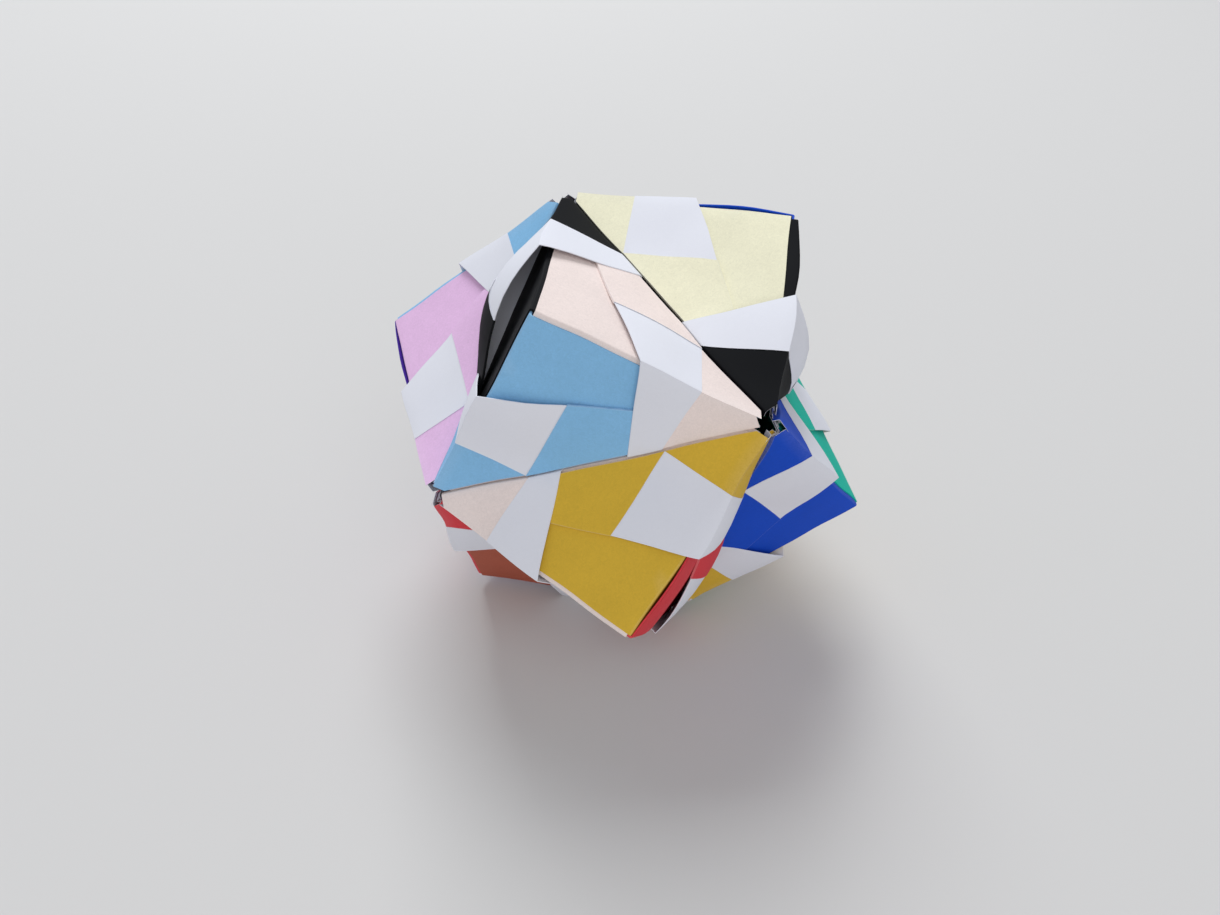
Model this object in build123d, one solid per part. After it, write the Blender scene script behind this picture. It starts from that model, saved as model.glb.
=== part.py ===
"""Kusudama ball of twelve interlocked folded-paper units (a stellated octahedron).

Each unit is one square of paper, coloured on one side, folded to a parallelogram with two triangular
tabs and two pockets.  It lies over one edge of an octahedron, so that its two halves are walls of two
neighbouring corner pyramids and each tab wraps round a ridge into the next unit's pocket.
The ball stands on three of its points: one four-way corner and two pyramid tips.
"""
from build123d import *
import os
from math import sqrt, tan, radians

# Driving dimensions, in millimetres
PAPER_SIDE = 75.0          # side of the square sheet that each unit is folded from
PAPER_THICKNESS = 0.07     # one layer of thin origami paper
LAYER_GAP = 0.02           # air between two neighbouring layers
LONG_SIDE_MARGIN = 0.4     # from a unit's long folded side to the ridge beside it
VALLEY_CLEARANCE = 0.1     # between a tab's edge and the flap that dives past it into the valley
CORNER_CUT = 1.0           # how far the blunt corners stop short, which leaves the pinholes at the corners
TUCK_MARGIN = 0.02         # between a tucked-in raw edge and the fold that it lies in

# The nodes, each with the two octahedron corners that its unit joins.  Corners are counted
# 1, 2, 3 on the three axes, and -1, -2, -3 opposite them.
UNITS = {
    "peach_unit": (1, 2),
    "black_unit": (2, 3),
    "sky_blue_unit": (3, 1),
    "cream_unit": (-1, 3),
    "royal_blue_unit": (2, -1),
    "green_unit": (-1, -3),
    "mustard_unit": (-3, 2),
    "red_unit": (1, -3),
    "pink_unit": (-2, 1),
    "purple_unit": (3, -2),
    "terracotta_unit": (-3, -2),
    "orange_unit": (-2, -1),
}

# Layers are counted outwards from the ball's inner skin, one pitch apart.
PITCH = PAPER_THICKNESS + LAYER_GAP
STACK = {
    "sheet": {"tab": 5, "near": 0, "far": 0, "far_tab": 5},
    "corner_lining": {"tab": 6, "near": 3},
    "corner": {"tab": 7, "near": 4},
    "tuck": {"tab": 8},
    "flap": {"tab": 9, "near": 12, "far": 1},
    "stripe": {"tab": 10, "near": 13, "far": 2},
    "tip": {"tab": 11},
}

# The folded unit, flat.  The x axis runs along the first ridge from the pyramid's tip, and the y axis
# along the tab's other short leg, so the first tab has y above 0.
FOLD_SLOPE = tan(radians(22.5))                   # the pocket's edge halves the tab's 45 degree point
HALF_STRIP = PAPER_SIDE / 4 * sqrt(2)             # the strip's edges lie on x + y = this, and minus this
VALLEY_SINE = sqrt(1 - (7 / 9) ** 2)              # the valley between two pyramids bends by 38.94 degrees
VALLEY_COSINE = 7 / 9


def valley_inset(top_layer, tab_layer):
    """How far an edge in tab_layer stays from the valley, to clear a flap on top_layer of the far side."""
    clear_height = top_layer * PITCH + PAPER_THICKNESS - VALLEY_COSINE * tab_layer * PITCH
    return clear_height / VALLEY_SINE + VALLEY_CLEARANCE


TOP_LAYER = STACK["stripe"]["near"]
TAB_INSET = valley_inset(TOP_LAYER, STACK["sheet"]["tab"])
CORNER_INSET = valley_inset(TOP_LAYER, STACK["corner_lining"]["near"])
LEG = HALF_STRIP + sqrt(2) * TAB_INSET            # a ridge's length from pyramid tip to four-way corner
FAR_SIDE = LEG - LONG_SIDE_MARGIN                 # x of the second long folded side
TIP_Y = HALF_STRIP - LONG_SIDE_MARGIN             # y of the tab's sharp point
STRIP_LENGTH = sqrt(2) * (LEG - 2 * LONG_SIDE_MARGIN + HALF_STRIP)
RAW_END_INSET = (STRIP_LENGTH - PAPER_SIDE) / 2   # how far the sheet's two raw ends lie inside the folds
STRIPE_X = LONG_SIDE_MARGIN + HALF_STRIP / sqrt(2)    # the white stripe's raw edge
TIP_EDGE_Y = TIP_Y - HALF_STRIP / sqrt(2)             # where the coloured point ends and the stripe begins
FLAP_STACK = STACK["flap"]["tab"] + STACK["flap"]["near"]
FLAP_SHIFT = FOLD_SLOPE * FLAP_STACK * PITCH      # keeps the pocket's edge in line as it turns the ridge
OVERRUN = TOP_LAYER * PITCH + 3.0                 # blanks reach this far past a crease before it is mitred
FAR_AWAY = 10 * PAPER_SIDE

# The faces that the unit lies on, in the ball's own axes: corners of the octahedron on the axes
TIP_POINT = Vector(1, 1, 1) * (LEG * 2 / 3)
RIDGE = Vector(-2, 1, -2) / 3
TAB_NORMAL = Vector(-1, 2, 2) / 3
NEAR_NORMAL = Vector(2, 2, -1) / 3
FACE_PLANES = {
    "tab": Plane(origin=TIP_POINT, x_dir=RIDGE, z_dir=TAB_NORMAL),
    "near": Plane(origin=TIP_POINT, x_dir=RIDGE, z_dir=NEAR_NORMAL),
}
HALF_TURN = Axis((0, 0, 0), (1, 1, 0))            # swaps the unit's two ends


def half_turned(vector):
    """The vector after half a turn about the unit's own axis of symmetry."""
    return Vector(vector.Y, vector.X, -vector.Z)


def far_plane(near_plane):
    """The far face's plane, with the same flat x and y as the near face's."""
    origin = half_turned(near_plane.from_local_coords(Vector(LEG, -LEG, 0)))
    return Plane(origin=origin, x_dir=-half_turned(near_plane.x_dir), z_dir=half_turned(near_plane.z_dir))


FACE_PLANES["far"] = far_plane(FACE_PLANES["near"])
FACE_PLANES["far_tab"] = far_plane(FACE_PLANES["tab"])

# Each crease: the two faces, a flat point on it and its flat direction
CREASES = [
    ("tab", "near", (0, 0), (1, 0)),
    ("near", "far", (LEG, 0), (-1, -1)),
    ("far", "far_tab", (LEG, -LEG), (-1, 0)),
]


def clipped(points, limits):
    """A convex outline cut by half-planes, each (a, b, c) for a * x + b * y <= c."""
    for a, b, c in limits:
        kept = []
        for start, end in zip(points, points[1:] + points[:1]):
            depth_start = c - a * start[0] - b * start[1]
            depth_end = c - a * end[0] - b * end[1]
            if depth_start >= 0:
                kept.append(start)
            if (depth_start > 0) != (depth_end > 0) and depth_start != depth_end:
                share = depth_start / (depth_start - depth_end)
                if 0 < share < 1:
                    kept.append(tuple(s + share * (e - s) for s, e in zip(start, end)))
        points = kept
    return points


def face_limits(face):
    """The half-planes of one face, each moved out past its crease so that the blank can be mitred."""
    valley = OVERRUN * sqrt(2)
    return {
        "tab": [(0, -1, OVERRUN)],
        "near": [(0, 1, OVERRUN), (1, -1, LEG + valley)],
        "far": [(-1, 1, -LEG + valley), (0, -1, LEG + OVERRUN)],
        "far_tab": [(0, 1, -LEG + OVERRUN)],
    }[face]


def crease_offset(first, second, first_height, second_height):
    """The offset of a crease line that is at these heights over its two faces."""
    first_normal = FACE_PLANES[first].z_dir
    second_normal = FACE_PLANES[second].z_dir
    cosine = first_normal.dot(second_normal)
    a = (first_height - cosine * second_height) / (1 - cosine ** 2)
    b = (second_height - cosine * first_height) / (1 - cosine ** 2)
    return first_normal * a + second_normal * b


def mitred(blank, face, bottoms, tops):
    """A blank on one face, cut where the paper bends over to the next faces that it reaches."""
    plane = FACE_PLANES[face]
    for first, second, point, direction in CREASES:
        if face not in (first, second) or first not in bottoms or second not in bottoms:
            continue
        on_crease = FACE_PLANES[first].from_local_coords(Vector(*point, 0))
        along = FACE_PLANES[first].from_local_coords(Vector(*direction, 0)) - FACE_PLANES[first].origin
        low = on_crease + crease_offset(first, second, bottoms[first], bottoms[second])
        high = on_crease + crease_offset(first, second, tops[first], tops[second])
        inner = plane.from_local_coords(Vector(LEG / 3, {"tab": LEG / 3, "near": -LEG / 3}.get(face, 0), 0))
        if face in ("far", "far_tab"):
            depth = -LEG * 2 / 3 if face == "far" else -LEG * 4 / 3
            inner = plane.from_local_coords(Vector(LEG * 2 / 3, depth, 0))
        normal = along.cross(high - low).normalized()
        if normal.dot(inner - low) < 0:
            normal = -normal
        blank = blank.split(Plane(origin=low, z_dir=normal), keep=Keep.TOP)
    return blank


def paper(layer, limits, faces=None, up_to=None, shifts=None):
    """Pieces of one layer of the sheet, bounded by limits, or a fold wall if up_to names its upper layer."""
    lower = STACK[layer]
    upper = STACK[up_to or layer]
    shared = [face for face in lower if face in upper]
    bottoms = {face: lower[face] * PITCH for face in shared}
    tops = {face: upper[face] * PITCH + PAPER_THICKNESS for face in shared}
    pieces = []
    for face in faces or shared:
        extra = (shifts or {}).get(face, [])
        square = [(-FAR_AWAY, -FAR_AWAY), (FAR_AWAY, -FAR_AWAY), (FAR_AWAY, FAR_AWAY), (-FAR_AWAY, FAR_AWAY)]
        outline = clipped(square, list(limits) + list(extra) + face_limits(face))
        base = FACE_PLANES[face].offset(bottoms[face])
        sketch = base * Polygon(*outline, align=None)
        blank = extrude(sketch, amount=tops[face] - bottoms[face], dir=FACE_PLANES[face].z_dir)
        pieces.append(mitred(blank, face, bottoms, tops))
    return pieces


def left_of_long_side(distance):
    return (-1, 0, -LONG_SIDE_MARGIN - distance)


def inside_strip(distance):
    return (1, 1, HALF_STRIP - sqrt(2) * distance)


def beyond_pocket_edge(distance):
    """Right of the pocket's folded edge, which halves the angle at the tab's point."""
    reach = LONG_SIDE_MARGIN + FOLD_SLOPE * TIP_Y + distance * sqrt(1 + FOLD_SLOPE ** 2)
    return (-1, -FOLD_SLOPE, -reach)


def before_pocket_edge(distance):
    a, b, c = beyond_pocket_edge(distance)
    return (-a, -b, -c)


def short_of_valley(distance):
    return (1, -1, LEG - sqrt(2) * distance)


def sheet_pieces():
    """The sheet's middle, which is the unit's inner wall from one tab to the other."""
    limits = [
        left_of_long_side(0),
        (1, 0, FAR_SIDE),
        inside_strip(0),
        (-1, -1, HALF_STRIP),
    ]
    blunt = {
        "tab": [(1, 0, HALF_STRIP - CORNER_CUT)],
        "far_tab": [(-1, 0, -LEG + HALF_STRIP - CORNER_CUT)],
    }
    return paper("sheet", limits, shifts=blunt)


def corner_pieces():
    """The strip's end corner, folded over the long side and tucked in: two layers and their folds."""
    end = RAW_END_INSET + TUCK_MARGIN
    corner = [left_of_long_side(0), inside_strip(end), short_of_valley(CORNER_INSET)]
    lining_edge = (-1, 1, -2 * LONG_SIDE_MARGIN)
    lining = [left_of_long_side(PITCH), inside_strip(end), short_of_valley(CORNER_INSET), lining_edge]
    long_fold = [left_of_long_side(0), (1, 0, LONG_SIDE_MARGIN + PAPER_THICKNESS), inside_strip(end)]
    long_fold.append(short_of_valley(CORNER_INSET))
    outer_line = (-1, 1, -LEG + sqrt(2) * (CORNER_INSET + PAPER_THICKNESS))
    pieces = paper("corner", corner)
    pieces += paper("corner_lining", lining)
    pieces += paper("sheet", long_fold, faces=["tab", "near"], up_to="corner")
    pieces += paper("corner_lining", lining + [outer_line], faces=["near"], up_to="corner")
    return pieces


def flap_pieces():
    """The pocket's flap with its edge folded back, which shows the stripe of the paper's white side."""
    shift = FLAP_SHIFT / sqrt(1 + FOLD_SLOPE ** 2)
    moved = {
        "near": [beyond_pocket_edge(PITCH + shift), inside_strip(CORNER_CUT / 4)],
        "far": [beyond_pocket_edge(PITCH + shift), (1, 0, FAR_SIDE - PITCH), inside_strip(CORNER_CUT / 4)],
        "tab": [(1, 0, HALF_STRIP - CORNER_CUT)],
    }
    edge = {
        "near": moved["near"] + [before_pocket_edge(PITCH + shift + PAPER_THICKNESS)],
        "far": moved["far"] + [before_pocket_edge(PITCH + shift + PAPER_THICKNESS)],
        "tab": [before_pocket_edge(PITCH + PAPER_THICKNESS)],
    }
    half = [beyond_pocket_edge(PITCH), inside_strip(0), (-1, -1, 0)]
    stripe = half[:2] + [(1, 0, STRIPE_X)]
    pieces = paper("flap", half, shifts=moved)
    pieces += paper("stripe", stripe, shifts=moved)
    pieces += paper("flap", stripe + [(-1, -1, 0)], up_to="stripe", shifts=edge)
    return pieces


def flap_end_pieces():
    """The wall that joins the flap's other end to the far corner's lining, at the second long side."""
    wall = [
        (-1, 0, -FAR_SIDE + PITCH + PAPER_THICKNESS),
        (1, 0, FAR_SIDE - PITCH),
        (-1, 1, -LEG - sqrt(2) * CORNER_INSET),
        (-1, -1, 0),
        inside_strip(CORNER_CUT / 4),
    ]
    base = FACE_PLANES["far"].offset(STACK["flap"]["far"] * PITCH)
    height = (STACK["corner_lining"]["near"] - STACK["flap"]["far"]) * PITCH + PAPER_THICKNESS
    square = [(-FAR_AWAY, -FAR_AWAY), (FAR_AWAY, -FAR_AWAY), (FAR_AWAY, FAR_AWAY), (-FAR_AWAY, FAR_AWAY)]
    sketch = base * Polygon(*clipped(square, wall), align=None)
    return [extrude(sketch, amount=height, dir=FACE_PLANES["far"].z_dir)]


def tip_pieces():
    """The coloured point over the stripe, the part of it tucked under the flap, and the tab's folds."""
    tip = [beyond_pocket_edge(0), inside_strip(0), (0, -1, -TIP_EDGE_Y)]
    tuck = [beyond_pocket_edge(0), inside_strip(RAW_END_INSET + TUCK_MARGIN), (1, -1, 2 * LONG_SIDE_MARGIN)]
    strip_fold = [(-1, -1, -HALF_STRIP + sqrt(2) * PAPER_THICKNESS), inside_strip(0)]
    tab_edge = strip_fold + [beyond_pocket_edge(0), (1, 0, HALF_STRIP - CORNER_CUT)]
    tip_fold = strip_fold + [beyond_pocket_edge(PITCH), (0, -1, -TIP_EDGE_Y)]
    wrap = [beyond_pocket_edge(0), before_pocket_edge(PAPER_THICKNESS), (0, -1, -TIP_EDGE_Y), (1, -1, 0)]
    wrap += [inside_strip(RAW_END_INSET + TUCK_MARGIN)]
    pieces = paper("tip", tip)
    pieces += paper("tuck", tuck)
    pieces += paper("sheet", tab_edge, faces=["tab"], up_to="flap")
    pieces += paper("stripe", tip_fold, faces=["tab"], up_to="tip")
    pieces += paper("tuck", wrap, faces=["tab"], up_to="tip")
    return pieces


def folded_unit():
    """One unit over the edge from corner 1 to corner 2, as a single folded sheet."""
    one_end = corner_pieces() + flap_pieces() + flap_end_pieces() + tip_pieces()
    other_end = [piece.rotate(HALF_TURN, 180) for piece in one_end]
    pieces = sheet_pieces() + one_end + other_end
    return pieces[0].fuse(*pieces[1:]).clean()


def corner_direction(corner):
    """The unit vector of one octahedron corner."""
    direction = [0, 0, 0]
    direction[abs(corner) - 1] = 1 if corner > 0 else -1
    return Vector(*direction)


def placed(unit, first, second):
    """The unit turned from the edge between corners 1 and 2 to the edge between first and second."""
    x_dir = corner_direction(first)
    y_dir = corner_direction(second)
    return unit.moved(Location(Plane(origin=(0, 0, 0), x_dir=x_dir, z_dir=x_dir.cross(y_dir))))


def standing(shape):
    """From the ball's own axes to the standing pose: corner -1 to the right, and corner 3 leaning back."""
    up = Vector(0, 1, 2).normalized()
    return shape.moved(Location(Plane(origin=(0, 0, 0), x_dir=(-1, 0, 0), z_dir=up)).inverse())


def build():
    unit = folded_unit()
    nodes = {name: standing(placed(unit, *corners)) for name, corners in UNITS.items()}
    to_floor = Location((0, 0, -min(node.bounding_box().min.Z for node in nodes.values())))
    os.makedirs("parts", exist_ok=True)
    for name, node in nodes.items():
        export_step(node.moved(to_floor), f"parts/{name}.step")


build()
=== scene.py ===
"""A kusudama ball of twelve folded-paper units, dressed over its frame.

One square of paper is folded layer by layer into the pattern unit.  Twelve copies of it stand over
the twelve edges of an octahedron, each in its own paper and a little loosened, as by hand.
"""

from math import acos, cos, hypot, pi, radians, sin, sqrt, tan

import bpy
from mathutils import Matrix, Vector


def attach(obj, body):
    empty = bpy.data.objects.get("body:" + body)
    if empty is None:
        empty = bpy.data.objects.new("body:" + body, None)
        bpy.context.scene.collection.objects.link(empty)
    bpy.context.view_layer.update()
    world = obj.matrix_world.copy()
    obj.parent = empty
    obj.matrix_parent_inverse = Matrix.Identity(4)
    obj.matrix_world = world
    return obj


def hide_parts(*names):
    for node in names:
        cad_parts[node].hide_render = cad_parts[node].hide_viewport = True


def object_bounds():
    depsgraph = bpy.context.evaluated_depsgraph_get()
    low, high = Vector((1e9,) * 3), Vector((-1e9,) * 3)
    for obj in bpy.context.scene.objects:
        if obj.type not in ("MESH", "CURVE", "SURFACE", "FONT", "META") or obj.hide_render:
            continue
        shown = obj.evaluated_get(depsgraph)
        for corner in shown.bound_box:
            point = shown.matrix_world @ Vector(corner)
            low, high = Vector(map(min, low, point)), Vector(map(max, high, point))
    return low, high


bl_info = {
    "name": "Kusudama paper ball",
    "version": (1, 0, 0),
    "blender": (4, 5, 0),
    "location": "View3D > Sidebar > Kusudama",
    "description": "Folds and dresses a ball of twelve interlocked paper units",
    "category": "Add Mesh",
}

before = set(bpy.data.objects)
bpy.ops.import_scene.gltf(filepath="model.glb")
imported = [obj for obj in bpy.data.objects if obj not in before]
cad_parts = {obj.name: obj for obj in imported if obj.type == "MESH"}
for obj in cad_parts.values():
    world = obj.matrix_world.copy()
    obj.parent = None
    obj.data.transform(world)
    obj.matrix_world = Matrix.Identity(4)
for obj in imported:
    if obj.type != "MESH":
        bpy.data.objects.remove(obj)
CAD_BOX = [list(corner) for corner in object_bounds()]
BALL_CENTRE = (Vector(CAD_BOX[0]) + Vector(CAD_BOX[1])) / 2

# Each unit's node, and the two octahedron corners that it joins, counted as 1, 2, 3 on the three
# axes and -1, -2, -3 opposite them
UNITS = {
    "peach_unit": (1, 2),
    "black_unit": (2, 3),
    "sky_blue_unit": (3, 1),
    "cream_unit": (-1, 3),
    "royal_blue_unit": (2, -1),
    "green_unit": (-1, -3),
    "mustard_unit": (-3, 2),
    "red_unit": (1, -3),
    "pink_unit": (-2, 1),
    "purple_unit": (3, -2),
    "terracotta_unit": (-3, -2),
    "orange_unit": (-2, -1),
}

# How many layers lie under each layer of a unit, on its tab, its near face and its far face.  A half
# leaves a little air.
STACK = {
    "sheet": {"tab": 5, "near": 0},
    "lining": {"tab": 6, "near": 3},
    "corner": {"tab": 7, "near": 4},
    "tuck": {"tab": 9},
    "flap": {"tab": 10.5, "near": 14, "far": 1},
    "stripe": {"tab": 11.5, "near": 15, "far": 2},
    "tip": {"tab": 13},
}
# The flap and its stripe dive into the valley side by side, half a pitch on each side of this level.
DIVE_LEVEL = (STACK["flap"]["near"] + STACK["stripe"]["near"]) / 2
SNAP = 2e-6                # how far off a crease a vertex still counts as on it, in metres
CUT_SNAP = 1e-7            # how far off a cut a vertex still counts as on it, in metres
WHOLE_WEIGHT = 0.9995      # a smaller weight comes from a cut beside the group
BLANK_SPAN = 6             # side of the uncut sheet, in ridges
WEAVE_SPAN = 2.2           # how far the lines that let the paper bend reach, in ridges
WEAVE_SHIFT = 0.37, 0.41   # keeps these lines off the creases, in parts of their distance
STACK_PER_RADIUS = 3       # a crease is rounder by the height of the stack under it over this
CREASE_SEGMENTS = 4
DIVE_SEGMENTS = 2

# The layers that are pulled together
MOUTH = ("flap", "stripe", "tip", "tuck")
BASE = ("sheet", "lining", "corner")
# Directions of a pull, as parts along the ridge from the point, out of the tab and out of the near face
OUT = (0, 0.7, 0.7)
TAB_OUT = (0, 1, 0)
NEAR_OUT = (0, 0, 1)
PAST_RIDGE = (-1, 0.3, 0)
# How the paper was pulled about by hand: for each unit, the end, the layers, the middle of the pull in
# flat x and y (above 0 on the tab, below 0 on the near face), its direction, how far it goes and how
# wide it reaches, in metres
PULLS = {
    "peach_unit": [("one", MOUTH, (0.0118, 0), OUT, 0.0003, 0.009),
                   ("one", MOUTH, (0.0130, 0.006), TAB_OUT, 0.0005, 0.008),
                   ("other", MOUTH, (0.0118, 0), OUT, 0.0004, 0.009)],
    "black_unit": [("one", MOUTH, (0.0105, 0), OUT, 0.0006, 0.009),
                   ("one", MOUTH, (0.0150, 0.0085), TAB_OUT, 0.0035, 0.0135),
                   ("other", MOUTH, (0.0155, 0), OUT, 0.0012, 0.0095),
                   ("other", MOUTH, (0.0150, 0.0065), TAB_OUT, 0.0030, 0.0090),
                   ("other", BASE, (0.0070, 0), TAB_OUT, 0.0010, 0.0110)],
    "sky_blue_unit": [("one", MOUTH, (0.0125, 0), OUT, 0.0008, 0.008),
                      ("one", MOUTH, (0.0160, -0.0075), NEAR_OUT, 0.0007, 0.009),
                      ("one", MOUTH, (0.0120, 0.006), TAB_OUT, 0.0005, 0.008),
                      ("other", MOUTH, (0.0118, 0), OUT, 0.0004, 0.009)],
    "cream_unit": [("one", MOUTH, (0.0118, 0), OUT, 0.0004, 0.009),
                   ("one", MOUTH, (0.0088, 0.0065), TAB_OUT, 0.0005, 0.0065),
                   ("other", MOUTH, (0.0118, 0), OUT, 0.0006, 0.009)],
    "royal_blue_unit": [("one", MOUTH, (0.0140, 0), OUT, 0.0008, 0.011),
                        ("one", BASE, (0, 0.007), PAST_RIDGE, 0.0008, 0.013),
                        ("other", MOUTH, (0.0140, 0), OUT, 0.0011, 0.010),
                        ("other", MOUTH, (0.0240, 0), OUT, 0.0006, 0.007)],
    "green_unit": [("one", MOUTH, (0.0118, 0), OUT, 0.0006, 0.009),
                   ("other", MOUTH, (0.0125, 0), OUT, 0.0008, 0.010)],
    "mustard_unit": [("one", MOUTH, (0.0130, 0), OUT, 0.0010, 0.010),
                     ("one", MOUTH, (0.0150, -0.0045), NEAR_OUT, 0.0012, 0.009),
                     ("other", MOUTH, (0.0118, 0), OUT, 0.0005, 0.009)],
    "red_unit": [("one", MOUTH, (0.0118, 0), OUT, 0.0005, 0.009),
                 ("one", MOUTH, (0.0140, 0.0070), TAB_OUT, 0.0019, 0.0115),
                 ("one", BASE, (0.0070, 0.0060), TAB_OUT, 0.0011, 0.0100),
                 ("other", MOUTH, (0.0125, 0), OUT, 0.0006, 0.009)],
    "pink_unit": [("one", MOUTH, (0.0118, 0), OUT, 0.0005, 0.009),
                  ("one", MOUTH, (0.0120, 0.0145), TAB_OUT, 0.0003, 0.009),
                  ("other", MOUTH, (0.0130, 0), OUT, 0.0007, 0.010)],
    "purple_unit": [("one", MOUTH, (0.0140, 0), OUT, 0.0011, 0.010),
                    ("one", BASE, (0, 0.007), PAST_RIDGE, 0.0008, 0.011),
                    ("other", MOUTH, (0.0240, 0), OUT, 0.0004, 0.007)],
    "terracotta_unit": [("one", MOUTH, (0.0118, 0), OUT, 0.0004, 0.009),
                        ("other", MOUTH, (0.0125, 0), OUT, 0.0007, 0.009)],
    "orange_unit": [("one", MOUTH, (0.0125, 0), OUT, 0.0006, 0.009),
                    ("other", MOUTH, (0.0118, 0), OUT, 0.0005, 0.009)],
}
# Folds that get the full lighter line: a painted highlight where they catch the light, with white-core wear
SHARP_FOLDS = ("flap pocket", "stripe pocket", "tip pocket", "tuck pocket", "flap strip", "sheet strip",
               "stripe strip", "tip strip", "tip edge")
COLOUR_OUTWARD = {"corner", "flap", "tip"}

VALLEY_ANGLE = acos(7 / 9)     # how far the valley between two pyramids bends the sheet
POCKET_SLOPE = tan(pi / 8)     # the pocket's edge halves the tab's 45 degree point
RIDGE_TURN = pi / 2            # how far the ridge bends the sheet
DIAGONAL_TURN = pi / 4         # brings the valley's line along the X axis
# The half-turn that brings one end of a unit to the other
END_SWAP = Matrix.Rotation(pi, 4, Vector((1, 1, 0)))

# How much lighter a rounded bend, the tip's crease and a sharp fold are painted. On the bends and sharp
# folds this is partly the white core showing through wear and partly a painted highlight where the fold
# catches the light; on the crease it is the crease's wear
BEND_WEAR_AND_HIGHLIGHT, CREASE_WEAR, FOLD_WEAR_AND_HIGHLIGHT = 0.3, 0.5, 1.0
# Colour of the folds' lighter line: the paper's white core, also used as a painted highlight
WEAR_AND_HIGHLIGHT_COLOUR = (0.75, 0.76, 0.78, 1)
# Mottling, fold wear with its painted highlight, and roughness of a sheet's two sides
WHITE_FINISH = (0.03, 0.0, 0.72)
COLOUR_MOTTLING, COLOUR_WEAR_AND_HIGHLIGHT, COLOUR_ROUGHNESS = 0.16, 0.4, 0.7
PAPER_SPECULAR = 0.14
FIBRE_SCALE = 2600.0       # of the finest noise, for a metre
CLOUD_SCALE = 150.0        # of the soft noise, for a metre
FIBRE_SHARE = 1.6          # how much the fibres vary the colour, against the clouds
WEAR_AND_HIGHLIGHT_CONTRAST = 1.3         # how far the fibres break up the folds' line of wear and painted highlight
FIBRE_BUMP = 0.12
FIBRE_HEIGHT = 0.00005
NOISE_MIDDLE = 0.5
WAVE_LENGTH = 0.011        # of the waves in the sheets, in metres
SMOOTH_ANGLE = radians(35)

# Each soft lamp's place, size, watts and tint
LAMPS = {
    "window": ((0.30, 0.60, 0.95), 0.6, 9.5, (0.95, 0.98, 1.0)),
    "room": ((-0.5, -0.9, 0.75), 1.2, 5.5, (1.0, 0.99, 0.98)),
}
WORLD_COLOUR = (0.93, 0.95, 1.0, 1)
WORLD_STRENGTH = 0.42
FLOOR_SIZE = 3.0
FLOOR_ROUGHNESS = 0.9
SENSOR_WIDTH = 36          # in millimetres
CLIP_START = 0.005


def length(name, description, default):
    """A size in metres, for a property group."""
    return bpy.props.FloatProperty(
        name=name, description=description, default=default, min=0, unit="LENGTH", precision=5)


def colour(name, description, default):
    """A colour, for a property group."""
    return bpy.props.FloatVectorProperty(
        name=name, description=description, default=default, subtype="COLOR", size=3, min=0, max=1)


class KusudamaSizes(bpy.types.PropertyGroup):
    ridge_length: length("Ridge", "From a point of the ball to a four-way corner", 0.02866)
    thickness: length("Paper", "Thickness of one layer", 0.00005)
    pitch: length("Layer pitch", "From one layer to the next", 0.00006)
    side_margin: length("Side margin", "From a unit's long side to the ridge beside it", 0.00015)
    valley_clearance: length("Valley clearance", "Between a tab and the flap that dives past it", 0.00012)
    valley_gap: length("Valley gap", "Between a tab's edge and the flap above the valley", 0.00028)
    dive_radius: length("Dive radius", "Radius of the flap's two bends in the valley", 0.00012)
    corner_cut: length("Corner cut", "How far each hidden layer stops short of the next", 0.0006)
    crease_radius: length("Crease radius", "Radius of the innermost layer's crease", 0.00012)
    # The bright line along a sharp fold is a painted highlight, with the white core worn through
    fold_width: length("Fold width", "Width of the bright line along a sharp fold", 0.00009)
    weave: length("Mesh spacing", "Distance between the lines that let the paper bend", 0.0016)
    waviness: length("Waviness", "How far the sheets stray from flat", 0.0003)


class KusudamaColours(bpy.types.PropertyGroup):
    white: colour("White side", "The papers' uncoloured side", (0.785, 0.795, 0.86))
    peach_unit: colour("Peach", "Paper of this unit", (0.87, 0.75, 0.71))
    black_unit: colour("Black", "Paper of this unit", (0.003, 0.0035, 0.005))
    sky_blue_unit: colour("Sky blue", "Paper of this unit", (0.25, 0.52, 0.80))
    cream_unit: colour("Cream", "Paper of this unit", (0.86, 0.83, 0.62))
    royal_blue_unit: colour("Royal blue", "Paper of this unit", (0.006, 0.07, 0.56))
    green_unit: colour("Green", "Paper of this unit", (0.0, 0.50, 0.37))
    mustard_unit: colour("Mustard", "Paper of this unit", (0.70, 0.45, 0.045))
    red_unit: colour("Red", "Paper of this unit", (0.70, 0.05, 0.065))
    pink_unit: colour("Pink", "Paper of this unit", (0.82, 0.54, 0.81))
    purple_unit: colour("Purple", "Paper of this unit", (0.07, 0.025, 0.32))
    terracotta_unit: colour("Terracotta", "Paper of this unit", (0.44, 0.11, 0.065))
    orange_unit: colour("Orange", "Paper of this unit", (0.80, 0.22, 0.02))


class KusudamaStage(bpy.types.PropertyGroup):
    floor_colour: colour("Floor", "Colour of the floor", (0.62, 0.61, 0.60))
    lens: bpy.props.FloatProperty(name="Lens", description="Focal length", default=29.24, unit="CAMERA")
    camera_offset: bpy.props.FloatVectorProperty(
        name="Camera", description="Place of the camera from the ball's centre",
        default=(-0.06784, -0.08520, 0.07780), subtype="TRANSLATION", unit="LENGTH")
    aim_offset: bpy.props.FloatVectorProperty(
        name="Aim", description="Point that the camera looks at, from the ball's centre",
        default=(-0.00369, -0.00177, -0.00466), subtype="TRANSLATION", unit="LENGTH")
    roll: bpy.props.FloatProperty(
        name="Roll", description="Turn of the camera about its own axis", default=radians(0.54),
        subtype="ANGLE", unit="ROTATION")


# Selecting and cutting

def only(piece):
    """Makes piece the one active and selected object."""
    if bpy.context.object and bpy.context.object.mode != "OBJECT":
        bpy.ops.object.mode_set(mode="OBJECT")
    bpy.ops.object.select_all(action="DESELECT")
    piece.select_set(True)
    bpy.context.view_layer.objects.active = piece


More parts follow.
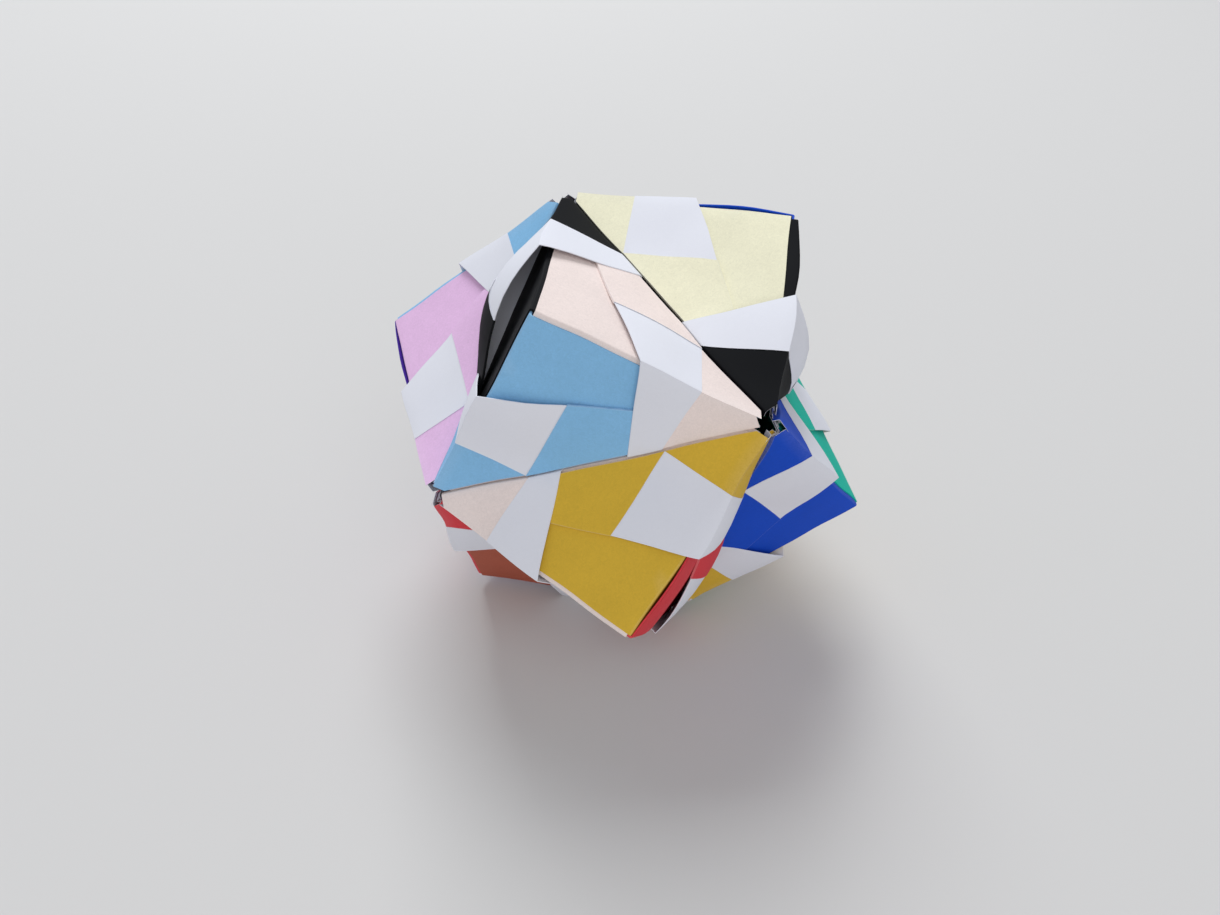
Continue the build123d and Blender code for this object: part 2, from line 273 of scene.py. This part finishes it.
def select(piece, vertices=None, edges=None, faces=None):
    """Selects the vertices, edges or faces that pass the given test, and goes to edit mode."""
    only(piece)
    mesh = piece.data
    kinds = ((mesh.vertices, vertices), (mesh.edges, edges), (mesh.polygons, faces))
    for items, test in kinds:
        for item in items:
            item.select = bool(test and test(item))
    bpy.context.tool_settings.mesh_select_mode = [test is not None for items, test in kinds]
    bpy.ops.object.mode_set(mode="EDIT")


def done():
    """Goes back to object mode."""
    bpy.ops.object.mode_set(mode="OBJECT")


def in_group(piece, *names):
    """A test for whether all of a vertex or edge of piece belongs to the groups named."""
    wanted = {piece.vertex_groups[name].index for name in names if name in piece.vertex_groups}
    held = {v.index for v in piece.data.vertices
            if any(g.group in wanted and g.weight > WHOLE_WEIGHT for g in v.groups)}
    return lambda item: (set(item.vertices) <= held) if hasattr(item, "vertices") else item.index in held


def name_selected(piece, name):
    """Adds the selected vertices to the group called name."""
    if name in piece.vertex_groups:
        piece.vertex_groups.active = piece.vertex_groups[name]
    else:
        bpy.ops.object.vertex_group_add()
        piece.vertex_groups.active.name = name
    bpy.context.scene.tool_settings.vertex_group_weight = 1.0
    bpy.ops.object.vertex_group_assign()


def cut(piece, line, part=None, fold=None, keep=False):
    """Cuts a flat layer along a * x + b * y = c, and takes off what is beyond unless keep is set."""
    a, b, c = line
    select(piece, faces=lambda face: part is None or part(face.center))
    bpy.ops.mesh.bisect(plane_co=(a * c / (a * a + b * b), b * c / (a * a + b * b), 0),
                        plane_no=(a, b, 0), threshold=CUT_SNAP)
    if fold:
        name_selected(piece, fold)
    if not keep:
        select(piece, faces=lambda face: (part is None or part(face.center))
               and a * face.center.x + b * face.center.y > c)
        bpy.ops.mesh.delete(type="FACE")
    done()


def bend(piece, past, pivot, angle):
    """Turns all that lies past a crease about the X axis through pivot."""
    select(piece, vertices=lambda v: past(v.co))
    bpy.ops.transform.rotate(value=angle, orient_axis="X", orient_type="GLOBAL", center_override=pivot)
    done()


def turned(piece, angle):
    """Turns the whole piece about the Z axis through the origin."""
    select(piece, vertices=lambda v: True)
    bpy.ops.transform.rotate(value=angle, orient_axis="Z", orient_type="GLOBAL", center_override=(0, 0, 0))
    done()


def rounded(piece, y, z, snap, radius, segments):
    """Rounds the crease along X through y and z, and marks it for white-core wear and a painted highlight.
    """
    def on_crease(place):
        return abs(place.y - y) < snap and abs(place.z - z) < snap

    select(piece, edges=lambda e: all(on_crease(piece.data.vertices[i].co) for i in e.vertices))
    bpy.ops.mesh.bevel(offset=radius, segments=segments, profile=0.5, affect="EDGES", clamp_overlap=True)
    name_selected(piece, "worn")
    done()


class Folder:
    """The sizes of the folded unit, and the making of its layers."""

    def __init__(self, sizes):
        self.sizes = sizes
        self.ridge = sizes.ridge_length
        valley_slope = tan(VALLEY_ANGLE / 2)
        self.corner_inset = self.height(STACK["corner"]["near"]) * valley_slope + sizes.valley_clearance
        self.tab_inset = self.height(STACK["flap"]["near"]) * valley_slope + sizes.valley_gap
        self.half_strip = self.ridge - sqrt(2) * self.tab_inset
        self.margin = sizes.side_margin
        self.far_side = self.ridge - self.margin
        self.tip_y = self.half_strip - self.margin
        self.stripe_x = self.margin + self.half_strip / sqrt(2)
        self.tip_edge_y = self.tip_y - self.half_strip / sqrt(2)
        self.blunt = self.half_strip - sizes.corner_cut
        self.raw_inset = self.tab_inset / 2

    def height(self, level):
        """The middle of the layer with this many layers under it."""
        return level * self.sizes.pitch + self.sizes.thickness / 2

    def pocket_edge(self, distance):
        """The half-plane right of the pocket's folded edge, which halves the angle at the tab's point."""
        reach = self.margin + POCKET_SLOPE * self.tip_y + distance * sqrt(1 + POCKET_SLOPE ** 2)
        return (-1, -POCKET_SLOPE, -reach)

    def layer(self, name, outline):
        """One layer, cut flat to its outline and then bent over the ridge and into the valley.

        The flat sheet has the near face's x and y.  Its part over the ridge starts later by the height
        of the stack that it has to go round, so lines given for the tab or for the whole sheet are
        moved by that much, and lines for the far face by what the valley takes up.  Each line comes
        with the part that it cuts and the name of the fold that it leaves, if any.
        """
        levels = STACK[name]
        tab = self.height(levels["tab"])
        near = self.height(levels["near"]) if "near" in levels else 0
        far = self.height(levels["far"]) if "far" in levels else near
        detour = tab + near
        half = VALLEY_ANGLE / 2
        aside = (levels["near"] - DIVE_LEVEL) * self.sizes.pitch if "far" in levels else 0
        valley = -near * tan(half) + aside / cos(half)
        riser = (near - far) / cos(half) - 2 * aside * tan(half)
        slip = valley + riser - (far * tan(half) - aside / cos(half))
        valley_line = (1, -1, self.ridge + sqrt(2) * valley)
        foot_line = (1, -1, valley_line[2] + sqrt(2) * riser)
        parts = {
            "tab": lambda at: at.y > tab,
            "near": lambda at: at.y < tab and at.x - at.y < foot_line[2],
            "far": lambda at: at.x - at.y > foot_line[2],
        }
        bpy.ops.mesh.primitive_plane_add(size=BLANK_SPAN * self.ridge)
        piece = bpy.context.object
        piece.name = name
        cut(piece, (0, -1, -tab), keep="near" in levels)
        cut(piece, valley_line, keep="far" in levels)
        if "far" in levels:
            cut(piece, foot_line, keep=True)
        # A cut beside each sharp fold keeps its painted highlight and white-core wear to a thin line
        beside = [((a, b, c - hypot(a, b) * self.sizes.fold_width), part, "beside")
                  for (a, b, c), part, fold in outline if fold in ("pocket", "strip", "edge")]
        for (a, b, c), part, fold in [*outline, *beside]:
            moved = (a, b, c + b * detour) if part in ("tab", "whole") else (a, b, c)
            if part == "far":
                moved = (a, b, c + (a - b) * slip / sqrt(2))
            cut(piece, moved, parts.get(part), fold and f"{name} {fold}", keep=fold in ("crease", "beside"))
        self.weave(piece)
        select(piece, vertices=lambda v: True)
        bpy.ops.mesh.remove_doubles(threshold=SNAP)
        name_selected(piece, name)
        if name not in COLOUR_OUTWARD:
            bpy.ops.mesh.flip_normals()
        bpy.ops.transform.translate(value=(0, 0, near))
        done()
        crease_radius = self.sizes.crease_radius + min(tab, near) / STACK_PER_RADIUS
        bend(piece, lambda at: at.y > tab + SNAP / 2, (0, tab, near), RIDGE_TURN)
        if "near" in levels:
            rounded(piece, tab, near, SNAP, crease_radius, CREASE_SEGMENTS)
        if "far" in levels:
            self.dive(piece, -valley_line[2] / sqrt(2), near, riser)
        return piece

    def weave(self, piece):
        """Cuts the layer into small squares, which let the paper bend."""
        step = self.sizes.weave
        reach = int(self.ridge * WEAVE_SPAN / step)
        for i in range(-reach, reach):
            for line in ((1, 0, (i + WEAVE_SHIFT[0]) * step), (0, 1, (i + WEAVE_SHIFT[1]) * step)):
                cut(piece, line, keep=True)

    def dive(self, piece, brink, near, riser):
        """Bends a layer down at the valley's brink, and on along the far face at the riser's foot."""
        half = VALLEY_ANGLE / 2
        foot_y, foot_z = brink - riser * sin(half), near - riser * cos(half)
        turned(piece, DIAGONAL_TURN)
        bend(piece, lambda at: at.y < brink - SNAP, (0, brink, near), half - pi / 2)
        bend(piece, lambda at: at.y < brink and at.z < foot_z - SNAP, (0, foot_y, foot_z), half + pi / 2)
        for y, z in ((brink, near), (foot_y, foot_z)):
            rounded(piece, y, z, 2 * SNAP, self.sizes.dive_radius, DIVE_SEGMENTS)
        turned(piece, -DIAGONAL_TURN)

    def layers(self):
        """All the layers of one end of the unit."""
        inner = sqrt(2) * self.raw_inset
        pitch = self.sizes.pitch
        left = (-1, 0, -self.margin)
        strip = (1, 1, self.half_strip)
        raw_end = (1, 1, self.half_strip - inner)
        valley = (1, -1, self.ridge - sqrt(2) * self.corner_inset)
        blunt = ((1, 0, self.blunt), "tab", None)
        hidden = self.blunt - self.sizes.corner_cut
        point = ((0, 1, hidden), "tab", None)
        ends = ((1, 0, hidden), None, None), ((0, -1, hidden), None, None), point
        emboss = [((1, 0, self.stripe_x + i * self.sizes.crease_radius), None, kind)
                  for i, kind in ((-1, "beside"), (0, "crease"), (1, "beside"))]
        # The pocket's edge is one straight line of the flat sheet, on both sides of the ridge.
        pocket = (self.pocket_edge(pitch), "whole", "pocket")
        mouth = ((1, 1, self.blunt), "near", None)
        mouth_far = ((1, 0, self.far_side - pitch), "far", "side")
        half = ((-1, -1, 0), "far", None)
        far_end = ((0, 1, self.blunt - self.ridge), "far", None)
        long_fold = (left, None, "long")
        strip_fold = (strip, "tab", "strip")
        diagonal = (valley, "near", "diagonal")
        raw = (raw_end, "tab", None)
        tab_pocket = (self.pocket_edge(0), "tab", "pocket")
        flap = [point, pocket, strip_fold, blunt, mouth, mouth_far, half, far_end]
        return [
            self.layer("sheet", [*ends, long_fold, strip_fold]),
            self.layer("lining", [*ends, ((-1, 0, -self.margin - pitch), None, "long"), raw,
                                  ((-1, 1, -2 * self.margin), "tab", None), diagonal]),
            self.layer("corner", [*ends, long_fold, raw, diagonal]),
            self.layer("tuck", [point, tab_pocket, raw, ((1, -1, 2 * self.margin), "tab", None)]),
            self.layer("flap", flap),
            self.layer("stripe", [*flap, ((1, 0, self.stripe_x), None, None)]),
            self.layer("tip", [point, tab_pocket, strip_fold, ((0, -1, -self.tip_edge_y), "tab", "edge"),
                               *emboss]),
        ]

    def joined(self):
        """The whole folded unit, as one open skin in the ball's own axes, colour side outwards."""
        end = self.layers()
        pattern = merged(end, "pattern unit")
        for first, second in (("sheet long", "corner long"), ("corner diagonal", "lining diagonal"),
                              ("sheet strip", "flap strip"), ("flap pocket", "stripe pocket"),
                              ("stripe strip", "tip strip"), ("tip pocket", "tuck pocket")):
            bridged(pattern, first, second)
        apply_matrix(pattern, face_matrix(self.ridge))
        other = copied(pattern, "other end")
        for group in other.vertex_groups:
            group.name = f"other {group.name}"
        apply_matrix(other, END_SWAP)
        pattern = merged([pattern, other], "pattern unit")
        select(pattern, vertices=lambda v: True)
        bpy.ops.mesh.remove_doubles(threshold=4 * SNAP)
        done()
        bridged(pattern, "flap side", "other lining long")
        bridged(pattern, "other flap side", "lining long")
        select(pattern, faces=lambda f: True)
        bpy.ops.mesh.normals_make_consistent(inside=False)
        done()
        tip = in_group(pattern, "tip")
        outward = Vector((-1, 2, 2))
        if sum(face.normal.dot(outward) for face in pattern.data.polygons if tip(face)) < 0:
            select(pattern, faces=lambda f: True)
            bpy.ops.mesh.flip_normals()
            done()
        return pattern


def merged(pieces, name):
    """Joins the pieces into one object."""
    only(pieces[0])
    for piece in pieces:
        piece.select_set(True)
    bpy.ops.object.join()
    bpy.context.object.name = name
    return bpy.context.object


def copied(piece, name):
    """A copy of piece with its own mesh."""
    only(piece)
    bpy.ops.object.duplicate(linked=False)
    bpy.context.object.name = name
    return bpy.context.object


def apply_matrix(piece, matrix):
    """Moves the piece by matrix and puts its place in its mesh."""
    only(piece)
    piece.matrix_world = matrix @ piece.matrix_world
    bpy.ops.object.transform_apply(location=True, rotation=True, scale=True)


def bridged(piece, first, second):
    """Joins two layers by the folded edge between them."""
    members = in_group(piece, first), in_group(piece, second)
    users = {}
    for face in piece.data.polygons:
        for key in face.edge_keys:
            users[key] = users.get(key, 0) + 1
    select(piece, edges=lambda e: users.get(tuple(sorted(e.vertices))) == 1
           and any(member(e) for member in members))
    bpy.ops.mesh.bridge_edge_loops(type="SINGLE", use_merge=False)
    done()


def face_matrix(ridge):
    """From the near face's flat x, y and outward z to the ball's own axes."""
    x = Vector((-2, 1, -2)) / 3
    z = Vector((2, 2, -1)) / 3
    turn = Matrix((x, z.cross(x), z)).transposed().to_4x4()
    return Matrix.Translation(Vector((1, 1, 1)) * ridge * 2 / 3) @ turn


def corner_vector(corner):
    """The direction of one octahedron corner."""
    vector = Vector((0, 0, 0))
    vector[abs(corner) - 1] = 1 if corner > 0 else -1
    return vector


def place_matrix(first, second):
    """From the ball's own axes to the standing ball, for the unit that joins these corners."""
    x, y = corner_vector(first), corner_vector(second)
    placed = Matrix((x, y, x.cross(y))).transposed()
    up = Vector((0, 1, 2)).normalized()
    right = Vector((-1, 0, 0))
    standing = Matrix((right, up.cross(right), up))
    return Matrix.Translation(BALL_CENTRE) @ (standing @ placed).to_4x4()


# Finishes

def paper_fibre_group():
    """Fine fibre and soft mottling of craft paper, in metres of the object's own space, with the folds'
    lighter line of white-core wear and painted highlight mixed in.
    """
    name = "paper fibre"
    if name in bpy.data.node_groups:
        return bpy.data.node_groups[name]
    group = bpy.data.node_groups.new(name, "ShaderNodeTree")
    for socket, default in (("Colour", None), ("Mottling", COLOUR_MOTTLING),
                            ("Fibre scale", FIBRE_SCALE), ("Worn", COLOUR_WEAR_AND_HIGHLIGHT)):
        kind = "NodeSocketColor" if default is None else "NodeSocketFloat"
        made = group.interface.new_socket(socket, in_out="INPUT", socket_type=kind)
        if default is not None:
            made.default_value = default
    group.interface.new_socket("Colour", in_out="OUTPUT", socket_type="NodeSocketColor")
    group.interface.new_socket("Height", in_out="OUTPUT", socket_type="NodeSocketFloat")
    nodes, links = group.nodes, group.links
    start, end = nodes.new("NodeGroupInput"), nodes.new("NodeGroupOutput")
    place = nodes.new("ShaderNodeTexCoord")

    def noise(scale, detail, distortion=0.0):
        node = nodes.new("ShaderNodeTexNoise")
        node.inputs["Detail"].default_value = detail
        node.inputs["Distortion"].default_value = distortion
        links.new(place.outputs["Object"], node.inputs["Vector"])
        if scale:
            node.inputs["Scale"].default_value = scale
        else:
            links.new(start.outputs["Fibre scale"], node.inputs["Scale"])
        return node.outputs["Fac"]

    def maths(operation, a, b):
        node = nodes.new("ShaderNodeMath")
        node.operation = operation
        for socket, value in zip(node.inputs, (a, b)):
            if isinstance(value, (int, float)):
                socket.default_value = value
            else:
                links.new(value, socket)
        return node.outputs[0]

    cloud = noise(CLOUD_SCALE, detail=3.0)
    fibre = noise(None, detail=4.0, distortion=1.5)
    clouding = maths("SUBTRACT", cloud, NOISE_MIDDLE)
    spread = maths("ADD", clouding, maths("MULTIPLY", maths("SUBTRACT", fibre, NOISE_MIDDLE), FIBRE_SHARE))
    value = maths("ADD", 1.0, maths("MULTIPLY", spread, start.outputs["Mottling"]))
    shade = nodes.new("ShaderNodeHueSaturation")
    links.new(start.outputs["Colour"], shade.inputs["Color"])
    links.new(value, shade.inputs["Value"])
    # The folds' lighter line: white-core wear, and a painted highlight where the folds catch the light,
    # broken up by the fibres
    wear_and_highlight_attribute = nodes.new("ShaderNodeAttribute")
    wear_and_highlight_attribute.attribute_name = "fold_wear"
    wear_and_highlight_factor = maths("MULTIPLY", maths("MULTIPLY", wear_and_highlight_attribute.outputs["Fac"], start.outputs["Worn"]),
                maths("MINIMUM", 1.0, maths("MULTIPLY", fibre, WEAR_AND_HIGHLIGHT_CONTRAST)))
    mix = nodes.new("ShaderNodeMix")
    mix.data_type = "RGBA"
    links.new(wear_and_highlight_factor, mix.inputs["Factor"])
    links.new(shade.outputs["Color"], mix.inputs[6])
    mix.inputs[7].default_value = WEAR_AND_HIGHLIGHT_COLOUR
    links.new(mix.outputs[2], end.inputs["Colour"])
    links.new(fibre, end.inputs["Height"])
    return group


def paper_material(name, paint, mottling, worn, roughness):
    """One paper's colour side, or the white side."""
    material = bpy.data.materials.new(name)
    material.use_nodes = True
    nodes, links = material.node_tree.nodes, material.node_tree.links
    shader = nodes["Principled BSDF"]
    fibre = nodes.new("ShaderNodeGroup")
    fibre.node_tree = paper_fibre_group()
    fibre.inputs["Colour"].default_value = (*paint, 1)
    fibre.inputs["Mottling"].default_value = mottling
    fibre.inputs["Worn"].default_value = worn
    bump = nodes.new("ShaderNodeBump")
    bump.inputs["Strength"].default_value = FIBRE_BUMP
    bump.inputs["Distance"].default_value = FIBRE_HEIGHT
    links.new(fibre.outputs["Height"], bump.inputs["Height"])
    links.new(bump.outputs["Normal"], shader.inputs["Normal"])
    links.new(fibre.outputs["Colour"], shader.inputs["Base Color"])
    shader.inputs["Roughness"].default_value = roughness
    shader.inputs["Specular IOR Level"].default_value = PAPER_SPECULAR
    return material


def loosened(unit, sizes, end, layers, place, direction, lift, reach):
    """Pulls some layers of one end of a unit aside, most at place, in flat x and y."""
    prefix = "other " if end == "other" else ""
    flip = END_SWAP if end == "other" else Matrix.Identity(4)
    base = flip @ face_matrix(sizes.ridge_length)
    x, y = place
    centre = base @ (Vector((x, 0, -y)) if y > 0 else Vector((x, y, 0)))
    away = (base.to_3x3() @ Vector(direction)).normalized() * lift
    loose = in_group(unit, *(prefix + name for name in layers))
    for vertex in unit.data.vertices:
        near = (vertex.co - centre).length / reach
        if near < 1 and loose(vertex):
            vertex.co += away * (1 - near * near) ** 2


class KUSUDAMA_OT_pattern(bpy.types.Operator):
    """Fold one sheet into the pattern unit"""
    bl_idname = "kusudama.pattern"
    bl_label = "Fold pattern unit"

    def execute(self, context):
        Folder(context.scene.kusudama_sizes).joined()
        return {"FINISHED"}


class KUSUDAMA_OT_units(bpy.types.Operator):
    """Copy the pattern unit to the twelve edges, each in its own paper"""
    bl_idname = "kusudama.units"
    bl_label = "Assemble units"

    def execute(self, context):
        sizes, paints = context.scene.kusudama_sizes, context.scene.kusudama_colours
        pattern = bpy.data.objects["pattern unit"]
        white = paper_material("white side", paints.white, *WHITE_FINISH)
        for name, corners in UNITS.items():
            unit = copied(pattern, f"{name}_paper")
            for pull in PULLS[name]:
                loosened(unit, sizes, *pull)
            apply_matrix(unit, place_matrix(*corners))
            paint = getattr(paints, name)
            material = paper_material(name.replace("_unit", " paper"), paint, COLOUR_MOTTLING,
                                      COLOUR_WEAR_AND_HIGHLIGHT * max(paint), COLOUR_ROUGHNESS)
            unit.data.materials.clear()
            unit.data.materials.append(material)
            unit.data.materials.append(white)
            finish_unit(unit, sizes)
            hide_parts(name)
            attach(unit, "root")
        bpy.data.objects.remove(pattern)
        units = [bpy.data.objects[f"{name}_paper"] for name in UNITS]
        sunk = -min(vertex.co.z for unit in units for vertex in unit.data.vertices)
        for unit in units:
            apply_matrix(unit, Matrix.Translation((0, 0, max(0, sunk))))
        return {"FINISHED"}


def finish_unit(unit, sizes):
    """Marks the folds for white-core wear and a painted highlight, and gives the open skin its paper
    thickness.
    """
    wear_and_highlight_attribute = unit.data.attributes.new("fold_wear", "FLOAT", "POINT")
    worn = in_group(unit, "worn", "other worn")
    creased = in_group(unit, "tip crease", "other tip crease")
    sharp = in_group(unit, *(end + name for end in ("", "other ") for name in SHARP_FOLDS))
    for vertex in unit.data.vertices:
        wear_and_highlight_attribute.data[vertex.index].value = max(
            worn(vertex) * BEND_WEAR_AND_HIGHLIGHT, creased(vertex) * CREASE_WEAR, sharp(vertex) * FOLD_WEAR_AND_HIGHLIGHT)
    only(unit)
    if "sheet bend" not in bpy.data.textures:
        clouds = bpy.data.textures.new("sheet bend", "CLOUDS")
        clouds.cloud_type = "COLOR"
        clouds.noise_scale = WAVE_LENGTH
        clouds.noise_depth = 1
    bpy.ops.object.modifier_add(type="DISPLACE")
    wave = unit.modifiers[-1]
    wave.texture = bpy.data.textures["sheet bend"]
    wave.texture_coords = "LOCAL"
    wave.direction = "RGB_TO_XYZ"
    # The clouds swing by half of this each way.
    wave.strength = sizes.waviness * 2
    wave.mid_level = NOISE_MIDDLE
    bpy.ops.object.modifier_apply(modifier=wave.name)
    bpy.ops.object.modifier_add(type="SOLIDIFY")
    solid = unit.modifiers[-1]
    solid.thickness = sizes.thickness
    solid.offset = 0
    solid.material_offset = 1
    solid.material_offset_rim = 1
    bpy.ops.object.modifier_apply(modifier=solid.name)
    bpy.ops.object.shade_smooth_by_angle(angle=SMOOTH_ANGLE)


class KUSUDAMA_OT_stage(bpy.types.Operator):
    """Add the floor, the soft lights and the camera"""
    bl_idname = "kusudama.stage"
    bl_label = "Set stage"

    def execute(self, context):
        stage = context.scene.kusudama_stage
        bpy.ops.object.select_all(action="DESELECT")
        bpy.ops.mesh.primitive_plane_add(size=FLOOR_SIZE, location=(0, 0, 0))
        floor = context.object
        floor.name = "floor"
        material = bpy.data.materials.new("floor")
        material.use_nodes = True
        shader = material.node_tree.nodes["Principled BSDF"]
        shader.inputs["Base Color"].default_value = (*stage.floor_colour, 1)
        shader.inputs["Roughness"].default_value = FLOOR_ROUGHNESS
        floor.data.materials.append(material)

        for name, (place, size, watts, tint) in LAMPS.items():
            bpy.ops.object.light_add(type="AREA", location=place)
            light = context.object
            light.name = name
            light.data.size = size
            light.data.energy = watts
            light.data.color = tint
            light.rotation_euler = (BALL_CENTRE - light.location).to_track_quat("-Z", "Y").to_euler()

        world = bpy.data.worlds.new("room light")
        world.use_nodes = True
        world.node_tree.nodes["Background"].inputs["Color"].default_value = WORLD_COLOUR
        world.node_tree.nodes["Background"].inputs["Strength"].default_value = WORLD_STRENGTH
        context.scene.world = world

        bpy.ops.object.camera_add(location=BALL_CENTRE + Vector(stage.camera_offset))
        camera = context.object
        camera.data.lens = stage.lens
        camera.data.sensor_width = SENSOR_WIDTH
        camera.data.clip_start = CLIP_START
        aim = BALL_CENTRE + Vector(stage.aim_offset) - camera.location
        look = aim.to_track_quat("-Z", "Y").to_matrix().to_4x4()
        turn = Matrix.Rotation(stage.roll, 4, "Z")
        camera.rotation_euler = (look @ turn).to_euler()
        context.scene.camera = camera
        context.scene.view_settings.view_transform = "Standard"
        return {"FINISHED"}


class KUSUDAMA_PT_panel(bpy.types.Panel):
    """The ball's steps in the 3D view's sidebar"""
    bl_label = "Kusudama ball"
    bl_idname = "KUSUDAMA_PT_panel"
    bl_space_type = "VIEW_3D"
    bl_region_type = "UI"
    bl_category = "Kusudama"

    def draw(self, context):
        for group in (context.scene.kusudama_sizes, context.scene.kusudama_colours,
                      context.scene.kusudama_stage):
            box = self.layout.box()
            for name in group.bl_rna.properties.keys():
                if name not in {"rna_type", "name"}:
                    box.prop(group, name)
        for operator in OPERATORS:
            self.layout.operator(operator.bl_idname)


OPERATORS = (KUSUDAMA_OT_pattern, KUSUDAMA_OT_units, KUSUDAMA_OT_stage)
CLASSES = (KusudamaSizes, KusudamaColours, KusudamaStage, *OPERATORS, KUSUDAMA_PT_panel)


def register():
    for cls in CLASSES:
        bpy.utils.register_class(cls)
    bpy.types.Scene.kusudama_sizes = bpy.props.PointerProperty(type=KusudamaSizes)
    bpy.types.Scene.kusudama_colours = bpy.props.PointerProperty(type=KusudamaColours)
    bpy.types.Scene.kusudama_stage = bpy.props.PointerProperty(type=KusudamaStage)


def unregister():
    del bpy.types.Scene.kusudama_stage
    del bpy.types.Scene.kusudama_colours
    del bpy.types.Scene.kusudama_sizes
    for cls in reversed(CLASSES):
        bpy.utils.unregister_class(cls)


def main():
    register()
    bpy.ops.kusudama.pattern()
    bpy.ops.kusudama.units()
    bpy.ops.kusudama.stage()


if __name__ == "__main__":
    main()
